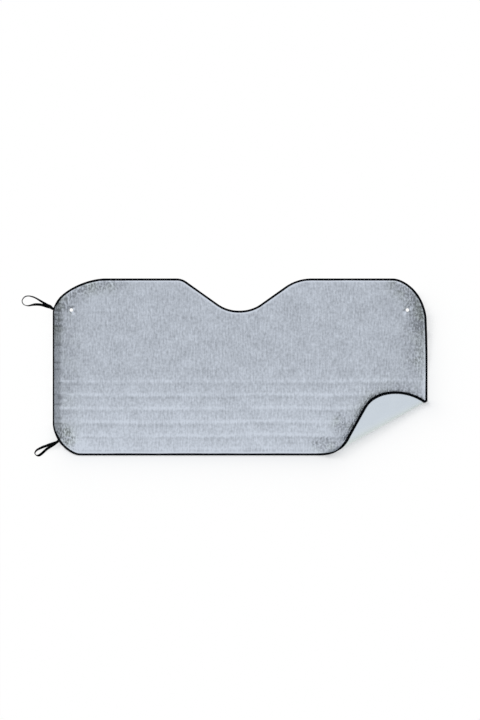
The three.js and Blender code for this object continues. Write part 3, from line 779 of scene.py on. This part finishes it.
def spindle_faces(start):
    """Faces of a closed spindle whose rings start at a point number."""
    faces = [tuple(start + k for k in range(THREAD_SIDES))]
    for r in range(len(SPINDLE) - 1):
        for k in range(THREAD_SIDES):
            a, b = start + r * THREAD_SIDES + k, start + r * THREAD_SIDES + (k + 1) % THREAD_SIDES
            faces.append((b, a, a + THREAD_SIDES, b + THREAD_SIDES))
    last = start + (len(SPINDLE) - 1) * THREAD_SIDES
    faces.append(tuple(last + k for k in reversed(range(THREAD_SIDES))))
    return faces


def sew(places):
    """All stitches as one mesh. A place is a centre, the way along it, its face and length."""
    rings, faces = [], []
    for centre, ahead, face, length in places:
        aside = np.array([ahead[1], -ahead[0]]) * face
        faces += spindle_faces(len(rings))
        rings += stitch_rings(centre, ahead, aside, face, length)
    rings = np.array(rings)
    return lie(*rings.T), faces


ahead = np.stack([inwards[:, 1], -inwards[:, 0]], -1)
seam = edge + inwards * STITCH_INSET
between_needle_holes = range(1, len(edge), 2)
row = [
    (seam[i], ahead[i], face, STITCH_LENGTH * STITCH_SHARE)
    for i in between_needle_holes
    for face in (1, -1)
]
print(f"{len(row)} stitches on both faces")


# %% [markdown]
# ## The elastic loops
#
# Each loop is one length of flat braid, 9 mm wide. Its ends are sewn under the tape, one
# over the other, and its strands part on their way out. Where the braid turns round in the
# open bow it leans over on its edge, as soft elastic does. A curve object would twist it at
# will, so the braid is lofted along a smooth line with its lean stated at each point.

# %% Points that a loop passes through
BRAID_WIDTH, BRAID_THICKNESS, BRAID_SPACING = 9, 1, 0.5
BRAID_TAIL, BRAID_BEYOND_EDGE = 8, 4
BRAID_UNDER_TAPE, BRAID_OVER_TABLE = 0.5, 0.1
UPPER_LOOP_Y, LOWER_LOOP_Y = TOP - 103, 49 - TOP
# Along X and Y from the sheet's edge, lift over resting on the table, twist from flat to on edge
UPPER_LOOP = [
    (-10, 7, 27.7, 6), (-21, 12, 21.9, 6), (-31.5, 18, 15.4, 25), (-39, 22.5, 11.2, 43),
    (-48, 28, 7.2, 48), (-60.5, 35.5, 4.2, 58), (-74, 41, 1.7, 61), (-87, 43.5, 0, 68),
    (-98, 41.5, 0, 63), (-105.5, 35, 0, 65), (-109, 26, 0, 68), (-105, 16.5, 0, 70),
    (-97, 11.5, 0, 78), (-86.5, 10.5, 0, 63), (-77, 12.5, 0.6, 52), (-65.5, 14.5, 2.5, 27),
    (-53, 14.5, 5.4, 18), (-42, 13, 8.8, 8), (-31.5, 10, 13.1, 6), (-21, 6.5, 19.5, 6),
    (-10.5, 4, 25.7, 6),
]
LOWER_LOOP = [
    (-12, -5, 15.6, 6), (-22.5, -8.5, 12.7, 6), (-33, -12, 9.6, 8), (-44, -16.5, 6.6, 10),
    (-54.5, -20, 3.7, 16), (-65.5, -25, 1.5, 30), (-74, -29.5, 0, 42), (-79.5, -35, 0, 52),
    (-82, -41, 0, 60), (-79.5, -46.5, 0, 70), (-74, -49, 0, 52), (-67, -48, 0, 22),
    (-59, -42.5, 1, 9), (-50, -34.5, 3.3, 8), (-41.5, -27, 5.4, 8), (-33, -21.5, 7.9, 6),
    (-22.5, -15, 10.7, 6), (-12, -8, 13.5, 6),
]


def seat_on_left_edge(y):
    """The outline's point and the way inwards where a loop is sewn to the left edge."""
    left = [i for i in range(len(edge)) if edge[i, 0] < -RIGHT / 2]
    nearest = min(left, key=lambda i: abs(edge[i, 1] - y))
    return edge[nearest], inwards[nearest]


def loop_route(y, free):
    """Places and width directions of a loop, in mm."""
    seat, into = seat_on_left_edge(y)
    start = lie(*seat, 0) / MM
    first_under = TAPE_OUTER + BRAID_UNDER_TAPE + BRAID_THICKNESS / 2
    next_under = first_under + BRAID_THICKNESS + BRAID_SPACING

    def lying(along_x, along_y, lift, twist):
        turned = math.radians(twist)
        half = (BRAID_WIDTH * math.sin(turned) + BRAID_THICKNESS * math.cos(turned)) / 2
        above_table = half + BRAID_OVER_TABLE + lift
        return np.array([start[0] + along_x, start[1] + along_y, above_table])

    laid = [lying(*point) for point in free]
    widths = []
    for i, point in enumerate(free):
        chord = laid[min(i + 1, len(free) - 1)] - laid[max(i - 1, 0)]
        flat = np.cross(up, chord)
        turned = math.radians(point[3])
        widths.append(flat / np.linalg.norm(flat) * math.cos(turned) + up * math.sin(turned))
    down_edge = lie(seat[0] + into[1], seat[1] - into[0], 0) / MM - start
    sewn = [BRAID_TAIL, 0, -BRAID_BEYOND_EDGE]
    first = [lie(*(seat + into * distance), -first_under) / MM for distance in sewn]
    last = [lie(*(seat + into * distance), -next_under) / MM for distance in reversed(sewn)]
    return np.array(first + laid + last), np.array([down_edge] * 3 + widths + [-down_edge] * 3)


# %% A smooth line through points
def through(points, places, steps, power):
    """Catmull-Rom line through points, sampled evenly in its parameter.

    A power of 0.5 spaces the knots by the square root of each gap, which keeps the line
    from looping where points are close. A power of 0 spaces them evenly.
    """

    def lengthened(line):
        return np.array([2 * line[0] - line[1], *line, 2 * line[-1] - line[-2]])

    ends = lengthened(points)
    gaps = np.linalg.norm(np.diff(lengthened(places), axis=0), axis=1)
    gaps = np.maximum(gaps, 1e-6) ** power
    made = []
    for t in np.linspace(0, len(points) - 1, steps + 1):
        i = min(int(t), len(points) - 2)
        u = t - i
        p0, p1, p2, p3 = ends[i:i + 4]
        d0, d1, d2 = gaps[i:i + 3]
        m1 = ((p1 - p0) / d0 - (p2 - p0) / (d0 + d1) + (p2 - p1) / d1) * d1
        m2 = ((p2 - p1) / d1 - (p3 - p1) / (d1 + d2) + (p3 - p2) / d2) * d1
        made.append(
            p1 * (2 * u**3 - 3 * u**2 + 1) + m1 * (u**3 - 2 * u**2 + u)
            + p2 * (3 * u**2 - 2 * u**3) + m2 * (u**3 - u**2)
        )
    return np.array(made)


# %% Loft the braid
BRAID_STEPS = 340
BRAID_RIBS = 6


def braid_section():
    """Half width and half thickness shares round the braid, with shallow ribs."""
    across = np.linspace(-0.9, 0.9, 2 * BRAID_RIBS + 1)
    rib = 0.9 - 0.2 * (np.arange(len(across)) % 2)
    top = np.stack([across, rib], -1)
    right, left = np.array([[1.0, 0.45], [1.0, -0.45]]), np.array([[-1.0, -0.45], [-1.0, 0.45]])
    return np.concatenate([left[1:], top, right, -top, left[:1]])


def braid(name, y, free):
    """One elastic loop as a closed mesh with coordinates along and across the braid."""
    path, widths = loop_route(y, free)
    line = through(path, path, BRAID_STEPS, 0.5)
    turned = through(widths, path, BRAID_STEPS, 0)
    tangent = np.gradient(line, axis=0)
    tangent /= np.linalg.norm(tangent, axis=1)[:, None]
    thick = np.cross(tangent, turned)
    thick /= np.linalg.norm(thick, axis=1)[:, None]
    wide = np.cross(thick, tangent)
    section = braid_section()
    sides = len(section)
    places = (
        line[:, None, :]
        + wide[:, None, :] * section[None, :, :1] * BRAID_WIDTH / 2
        + thick[:, None, :] * section[None, :, 1:] * BRAID_THICKNESS / 2
    )
    at = np.concatenate([[0], np.cumsum(np.linalg.norm(np.diff(line, axis=0), axis=1))])
    across = section[:, 0] * BRAID_WIDTH / 2
    flat = np.stack(np.broadcast_arrays(at[:, None], across[None, :]), -1).reshape(-1, 2)
    faces = [tuple(range(sides)), tuple(BRAID_STEPS * sides + k for k in reversed(range(sides)))]
    for i in range(BRAID_STEPS):
        for j in range(sides):
            a, b = i * sides + j, i * sides + (j + 1) % sides
            faces.append((a, a + sides, b + sides, b))
    made = mesh_object(name, places.reshape(-1, 3) * MM, faces, flat=flat)
    print(f"{name}: {at[-1]:.0f} mm of braid")
    return made


upper_braid = braid("upper_elastic", UPPER_LOOP_Y, UPPER_LOOP)
lower_braid = braid("lower_elastic", LOWER_LOOP_Y, LOWER_LOOP)

# %% [markdown]
# Where a loop is caught under the tape, the machine sews to and fro. That leaves a bar of
# close stitches across the braid.

# %% Add the bars over the loops and make the thread
BAR_STITCHES, BAR_LENGTH, BAR_SLANT = 9, 4.2, 0.35
BAR_WIDTH = BRAID_WIDTH + 2


def bar_over(y):
    """Close stitches that lie across the tape where a loop is caught under it."""
    seat, into = seat_on_left_edge(y)
    beside = np.array([into[1], -into[0]])
    bar = []
    for k in range(BAR_STITCHES):
        middle = seat + into * STITCH_INSET
        middle = middle + beside * (k / (BAR_STITCHES - 1) - 0.5) * BAR_WIDTH
        slant = into + beside * (BAR_SLANT if k % 2 else -BAR_SLANT)
        slant = slant / np.linalg.norm(slant)
        bar += [(middle, slant, face, BAR_LENGTH) for face in (1, -1)]
    return bar


thread_places, thread_faces = sew(row + bar_over(UPPER_LOOP_Y) + bar_over(LOWER_LOOP_Y))
thread = mesh_object("sewing_thread", thread_places, thread_faces)
print(f"thread: {sum(len(f) - 2 for f in thread_faces)} triangles")


# %% [markdown]
# ## Shader maths as plain expressions
#
# Materials are easier to read when their sums look like sums. A Wire holds one output
# socket, and adding or multiplying wires adds Math nodes. Every other node comes from
# Finish.add, which sets the node's own settings first and then its sockets.

# %% Wires and finishes
class Wire:
    """One output socket whose arithmetic adds Math nodes."""

    def __init__(self, finish, socket):
        self.finish, self.socket = finish, socket

    def math(self, operation, *others):
        sockets = dict(enumerate([self, *others]))
        return self.finish.add("ShaderNodeMath", {"operation": operation}, sockets)

    def __add__(self, other):
        return self.math("ADD", other)

    __radd__ = __add__

    def __mul__(self, other):
        return self.math("MULTIPLY", other)

    __rmul__ = __mul__

    def __sub__(self, other):
        return self.math("SUBTRACT", other)

    def __rsub__(self, other):
        return self * -1 + other

    def __pow__(self, other):
        return self.math("POWER", other)

    def between(self, start, end):
        """0 at start, 1 at end and smooth in between."""
        settings = {"interpolation_type": "SMOOTHSTEP"}
        sockets = {"Value": self, "From Min": start, "From Max": end}
        return self.finish.add("ShaderNodeMapRange", settings, sockets)


class Finish:
    """A node tree that is filled by add()."""

    def __init__(self, owner):
        owner.use_nodes = True
        self.owner, self.tree = owner, owner.node_tree
        self.tree.nodes.clear()

    def add(self, kind, settings=None, sockets=None, output=0):
        """Add a node, set its settings and then its sockets, and give one of its outputs."""
        node = self.tree.nodes.new(kind)
        for name, value in (settings or {}).items():
            setattr(node, name, value)
        for name, value in (sockets or {}).items():
            if isinstance(value, Wire):
                self.tree.links.new(value.socket, node.inputs[name])
            else:
                node.inputs[name].default_value = value
        return Wire(self, node.outputs[output]) if node.outputs else node

    def mix(self, share, first, second):
        """Mix two colours."""
        settings = {"data_type": "RGBA"}
        return self.add("ShaderNodeMix", settings, {0: share, 6: first, 7: second}, output=2)

    def flat_place(self, scale_x, scale_y):
        """Place on the flat piece, from its UV layer in metres, scaled along each way."""
        flat = self.add("ShaderNodeUVMap", {"uv_map": "flat"})
        scale = {0: flat, 1: (scale_x, scale_y, 1.0)}
        return self.add("ShaderNodeVectorMath", {"operation": "MULTIPLY"}, scale)

    def mask(self, name):
        """An attribute of the mesh."""
        return self.add("ShaderNodeAttribute", {"attribute_name": name}, {}, output="Fac")

    def noise(self, place, detail=2.0):
        """Noise from 0 to 1 at a place."""
        return self.add("ShaderNodeTexNoise", {}, {"Vector": place, "Scale": 1.0, "Detail": detail})

    def bump(self, height, millimetres):
        """A Bump node for a height from 0 to 1 that stands for so many millimetres."""
        sockets = {"Height": height, "Distance": millimetres * MM, "Strength": 1.0}
        return self.add("ShaderNodeBump", {}, sockets)

    def surface(self, **sockets):
        """The surface shader, wired to the output. An underscore in a name is a space."""
        named = {name.replace("_", " "): value for name, value in sockets.items()}
        shader = self.add("ShaderNodeBsdfPrincipled", {}, named)
        self.add("ShaderNodeOutputMaterial", {}, {"Surface": shader})
        return self.owner


def per_mm(millimetres):
    """Scale that makes a texture's unit so many millimetres of a piece in metres."""
    return 1 / (millimetres * MM)


def dress(piece, material):
    """Give a piece a finish."""
    piece.data.materials.append(material)
    print(f"{piece.name}: {material.name}, {len(material.node_tree.nodes)} nodes")


# %% [markdown]
# ## The aluminised film
#
# The front is a thin film that carries a skin of aluminium, laid over soft bubbles. It is
# bright and blue-grey, but never a mirror: it crinkles along the way in which it was drawn
# off the roll, and each small facet throws the light elsewhere. Fine noise makes the grain,
# a stretched one the streaks and a Voronoi texture the facets. All of them are bump, because
# they are finer than the mesh. The grain and the streaks are tone too, because the metal is
# thinner on each crease. Where the masks say that the film is crumpled, the grain is stronger and
# darker; beside the curl that darker grain is painted shade. The film is also painted lighter
# towards the bottom, and other masks add a painted highlight and painted shade.

# %% Make the front film
# The tarnish tint is also painted shade where it lies beside the curl.
FILM_DARK, FILM_LIGHT = (0.26, 0.277, 0.302, 1), (0.70, 0.744, 0.812, 1)
TARNISH_AND_SHADE_DARK, TARNISH_AND_SHADE_LIGHT = (0.225, 0.243, 0.238, 1), (0.69, 0.745, 0.765, 1)
FILM_TONE = 0.61


def front_film():
    """Blue-grey metal whose tone, tint and relief come from noise and from the masks."""
    f = Finish(bpy.data.materials.new("aluminised_film"))
    names = ("crumple_and_shade", "painted_highlight", "ripple_light", "lip", "shaded")
    crumple_and_shade, painted_highlight, ripple_light, lip, shaded = (f.mask(name) for name in names)
    grain = f.noise(f.flat_place(per_mm(7.5), per_mm(9)), detail=2.0)
    streaks = f.noise(f.flat_place(per_mm(5), per_mm(30)), detail=1.5)
    specks = f.noise(f.flat_place(per_mm(7), per_mm(9)), detail=3.0).between(0.4, 0.6)
    waves = f.noise(f.flat_place(per_mm(6), per_mm(45)), detail=1.0).between(0.38, 0.62)
    facets = f.add(
        "ShaderNodeTexVoronoi",
        {"feature": "SMOOTH_F1"},
        {"Vector": f.flat_place(per_mm(6), per_mm(9)), "Scale": 1.0, "Smoothness": 0.3},
    )
    patches = f.noise(f.flat_place(per_mm(75), per_mm(55)), detail=4.0)
    marks = f.noise(f.flat_place(per_mm(90), per_mm(11)), detail=2.0).between(0.5, 0.68)
    flat = f.add("ShaderNodeUVMap", {"uv_map": "flat"})
    # Painted light: the film is painted lighter towards the bottom of the sheet.
    lower = f.add("ShaderNodeSeparateXYZ", {}, {0: flat}, output=1).between(0.06, -0.28)

    fine = ((grain - 0.5) * 0.95 + (streaks - 0.5) * 0.75) * (1 - lip * 0.4)
    # Beside the curl this darker grain and the tint below are painted shade.
    grain_and_shade = (specks * 0.75 + waves * 0.3 - 0.9) * crumple_and_shade
    # Painted light in the tone: lighter lower down, a painted highlight and painted shade on the
    # ripples, a painted highlight along the tape and on the creases, painted shade where the sheet
    # bends up, and the lip darker in streaks.
    tone = FILM_TONE + fine + lower * 0.17 + (patches - 0.5) * 0.45 + (ripple_light - 0.5) * 0.45
    tone = tone + grain_and_shade + painted_highlight * 0.6 - lip * (marks * 0.4 + 0.03) - shaded * 0.2
    tarnish_and_shade = patches.between(0.42, 0.58) * crumple_and_shade
    dark = f.mix(tarnish_and_shade, FILM_DARK, TARNISH_AND_SHADE_DARK)
    light = f.mix(tarnish_and_shade, FILM_LIGHT, TARNISH_AND_SHADE_LIGHT)
    colour = f.mix(tone, dark, light)
    relief = streaks * 0.35 + grain * 0.35 + facets * 0.2 + specks * crumple_and_shade * 0.35
    roughness = 0.34 + grain * 0.12
    return f.surface(
        Base_Color=colour, Metallic=1.0, Roughness=roughness, Normal=f.bump(relief, 0.9)
    )


dress(panel, front_film())


# %% Make the back film
def back_film():
    """Plain pale grey film, smooth, with a faint print of the bubbles and painted light along the
    fold.
    """
    f = Finish(bpy.data.materials.new("plain_back_film"))
    soft = f.noise(f.flat_place(per_mm(60), per_mm(60)))
    fine = f.noise(f.flat_place(per_mm(2.5), per_mm(2.5)))
    plain = f.mix(soft, (0.615, 0.67, 0.725, 1), (0.65, 0.705, 0.755, 1))
    # Painted light: the back is painted lighter along the fold of the curl.
    colour = f.mix(f.mask("fold"), plain, (0.90, 0.96, 0.915, 1))
    return f.surface(
        Base_Color=colour, Roughness=0.42 + fine * 0.1, Normal=f.bump(soft * 0.7 + fine * 0.3, 0.25)
    )


dress(panel, back_film())

# %% [markdown]
# ## Tape, thread and elastic
#
# All three are black polyester. The tape is a plain weave: threads over and under at right
# angles, which two sines make from the place along and across the tape. The elastic is a
# braid whose threads slant, so its two sines run diagonally. Both weaves feed bump and
# darken the gaps between threads.

# %% Make the tape, thread and elastic
def woven(name, colour, thread_mm, slanted, roughness):
    """A weave from the flat coordinates of a ribbon."""
    f = Finish(bpy.data.materials.new(name))
    flat = f.add("ShaderNodeUVMap", {"uv_map": "flat"})
    along, across = (f.add("ShaderNodeSeparateXYZ", {}, {0: flat}, output=i) for i in (0, 1))
    turns = math.pi / (thread_mm * MM)
    first, second = (along + across, along - across) if slanted else (along, across)
    weave = (first * turns).math("SINE") * (second * turns).math("SINE")
    fuzz = f.noise(f.flat_place(per_mm(0.5), per_mm(0.5)))
    height = weave * 0.35 + 0.5 + (fuzz - 0.5) * 0.5
    wear = f.noise(f.flat_place(per_mm(30), per_mm(9)))
    dark = tuple(c * 0.55 for c in colour) + (1,)
    light = tuple(c * 1.45 for c in colour) + (1,)
    tone = height * 0.7 + wear * 0.3
    return f.surface(
        Base_Color=f.mix(tone, dark, light),
        Roughness=roughness + fuzz * 0.15,
        Specular_IOR_Level=0.03,
        Normal=f.bump(height, 0.18),
    )


def thread_finish():
    """Twisted thread, a little glossier than the tape that it sews."""
    f = Finish(bpy.data.materials.new("black_thread"))
    coordinates = f.add("ShaderNodeTexCoord", {}, {}, output=3)
    scale = {0: coordinates, "Scale": per_mm(0.4)}
    place = f.add("ShaderNodeVectorMath", {"operation": "SCALE"}, scale)
    twist = f.noise(place)
    colour = f.mix(twist, (0.003, 0.0035, 0.0045, 1), (0.008, 0.009, 0.011, 1))
    return f.surface(
        Base_Color=colour,
        Roughness=0.45 + twist * 0.2,
        Specular_IOR_Level=0.1,
        Normal=f.bump(twist, 0.08),
    )


TAPE_COLOUR, ELASTIC_COLOUR = (0.0014, 0.002, 0.0032), (0.002, 0.0022, 0.0026)
dress(tape, woven("black_tape", TAPE_COLOUR, 0.7, False, 0.75))
dress(thread, thread_finish())
braid_finish = woven("black_elastic", ELASTIC_COLOUR, 0.8, True, 0.75)
dress(upper_braid, braid_finish)
dress(lower_braid, braid_finish)

# %% Hide the imported parts and hang the pieces on the root
pieces = [
    (panel, "reflective_panel", "foil"),
    (tape, "edge_binding", "tape"),
    (upper_braid, "elastic_loop_upper", "elastic"),
    (lower_braid, "elastic_loop_lower", "elastic"),
]
for piece, node, slot in pieces:
    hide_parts(node)
    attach(piece, "root")
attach(thread, "root")
print(f"{len(pieces) + 1} pieces ride on the root")


# %% [markdown]
# ## Table, light and camera
#
# The table is white and the light is a soft sky, brightest overhead, with one large lamp from the
# upper left for the shadow. A metal shows what it faces: the flat sheet faces the bright zenith,
# and its turned-up edges face the greyer walls, so they are darker; painted shade on the film makes
# them darker still. The table shows its own white to the camera. Just below and to the right of the
# sheet, where its shadow falls, more of the true light on the table is let through.

# %% Lay out the table, closer together round the sheet
TABLE_HALF, TABLE_STEP = 60.0, 0.01
CLOSE_ACROSS, CLOSE_UP = 0.9, 0.6
SHADOW_REACH, SHADOW_DEPTH = 0.035, 0.85
SHADOW_WAY = np.array([0.28, -0.96])
BESIDE = 0.004
KEPT_WHITE = 0.022


def table_lines(reach):
    """Places of the grid's lines along one way: close together as far as reach, then far."""
    return np.concatenate([[-TABLE_HALF], np.arange(-reach, reach, TABLE_STEP), [TABLE_HALF]])


def shadow_share(x, y):
    """How much of the true light shows: most just beyond the edges that face away from the lamp."""
    grid = np.stack([x, y], -1)
    sheet = np.concatenate([front_place[:, :2], tape_places[:, :2]])
    way = grid - sheet[nearest_of(sheet, grid)]
    distance = np.linalg.norm(way, axis=1)
    towards_shadow = way @ SHADOW_WAY / np.maximum(distance, 1e-9)
    share = np.clip(0.4 + 0.9 * towards_shadow, 0, 1)
    share *= np.exp(-np.maximum(distance - BESIDE, 0) / SHADOW_REACH)
    from_holes = [np.linalg.norm(grid - lie(*hole, 0)[:2], axis=1) for hole in HOLES]
    at_hole = np.min(from_holes, axis=0) < KEPT_WHITE
    under = distance < BESIDE
    open_table = ~under & ~at_hole
    share[under] = share[open_table][nearest_of(grid[open_table], grid[under])]
    share[at_hole] = 0
    return share


# %% Make the table
def make_table():
    """A wide white table that shows its own white, and less of it in the shadow."""
    columns, rows = table_lines(CLOSE_ACROSS), table_lines(CLOSE_UP)
    x, y = (grid.ravel() for grid in np.meshgrid(columns, rows))
    across, down = len(columns), len(rows)
    faces = []
    for row in range(down - 1):
        for column in range(across - 1):
            a = row * across + column
            faces.append((a, a + 1, a + across + 1, a + across))
    shadow = shadow_share(x, y)
    table = mesh_object("table", np.stack([x, y, 0 * x], -1), faces, masks={"shadow": shadow})
    f = Finish(bpy.data.materials.new("white_table"))
    diffuse = f.add("ShaderNodeBsdfDiffuse", {}, {"Color": (0.92, 0.92, 0.92, 1)})
    white = f.add("ShaderNodeEmission", {}, {"Color": (1, 1, 1, 1), "Strength": 1.0})
    camera, glossy, through_glass = (
        f.add("ShaderNodeLightPath", {}, {}, output=name)
        for name in ("Is Camera Ray", "Is Glossy Ray", "Is Transmission Ray")
    )
    seen = (camera + glossy + through_glass).math("MINIMUM", 1.0)
    own_white = seen * (1 - f.mask("shadow") * SHADOW_DEPTH)
    shown = f.add("ShaderNodeMixShader", {}, {0: own_white, 1: diffuse, 2: white})
    f.add("ShaderNodeOutputMaterial", {}, {"Surface": shown})
    table.data.materials.append(f.owner)
    print(f"table: {len(faces)} faces, shadow share {shadow.mean():.3f} on average")


make_table()

# %% Sky
world = bpy.data.worlds.new("soft_sky")
bpy.context.scene.world = world
sky = Finish(world)
direction = sky.add("ShaderNodeTexCoord", {}, {}, output="Generated")
height = sky.add("ShaderNodeSeparateXYZ", {}, {0: direction}, output=2)
overhead = height.math("MAXIMUM", 0.0) ** 1.1
tint = sky.mix(overhead, (0.38, 0.39, 0.40, 1), (0.93, 0.95, 0.98, 1))
glow = sky.add("ShaderNodeBackground", {}, {"Color": tint, "Strength": 1.0})
sky.add("ShaderNodeOutputWorld", {}, {"Surface": glow})
print(f"{world.name}: {len(sky.tree.nodes)} nodes")


# %% Lamp
def area_lamp(name, place, size, watts, colour):
    """A square lamp that faces the middle of the sheet."""
    data = bpy.data.lights.new(name, "AREA")
    data.size, data.energy, data.color = size, watts, colour
    lamp = bpy.data.objects.new(name, data)
    lamp.location = place
    lamp.visible_glossy = False
    lamp.rotation_mode = "QUATERNION"
    lamp.rotation_quaternion = (Vector((0, 0, 0)) - Vector(place)).to_track_quat("-Z", "Y")
    bpy.context.scene.collection.objects.link(lamp)
    print(f"{name}: {watts} W, {size} m wide, at {place}")


area_lamp("upper_left_lamp", (-1.6, 1.7, 2.2), 1.2, 36, (1.0, 0.995, 0.985))

# %% Camera
SCALE_MM_PER_PIXEL = 3.39
PICTURE_WIDTH, PICTURE_HEIGHT = 480, 720
SHEET_MIDDLE_PIXEL = (239.4, 366.95)
LENS, SENSOR = 100.0, 36.0
camera_data = bpy.data.cameras.new("camera")
camera_data.lens, camera_data.sensor_width = LENS, SENSOR
camera = bpy.data.objects.new("camera", camera_data)
right_of_sheet = (PICTURE_WIDTH / 2 - SHEET_MIDDLE_PIXEL[0]) * SCALE_MM_PER_PIXEL
above_sheet = (SHEET_MIDDLE_PIXEL[1] - PICTURE_HEIGHT / 2) * SCALE_MM_PER_PIXEL
camera_height = PICTURE_HEIGHT * SCALE_MM_PER_PIXEL * LENS / SENSOR
camera.location = (shift + np.array([right_of_sheet, above_sheet, camera_height])) * MM
bpy.context.scene.collection.objects.link(camera)
bpy.context.scene.camera = camera
print("camera at", [round(c, 3) for c in camera.location])

# %% Colour
bpy.context.scene.view_settings.view_transform = "Standard"
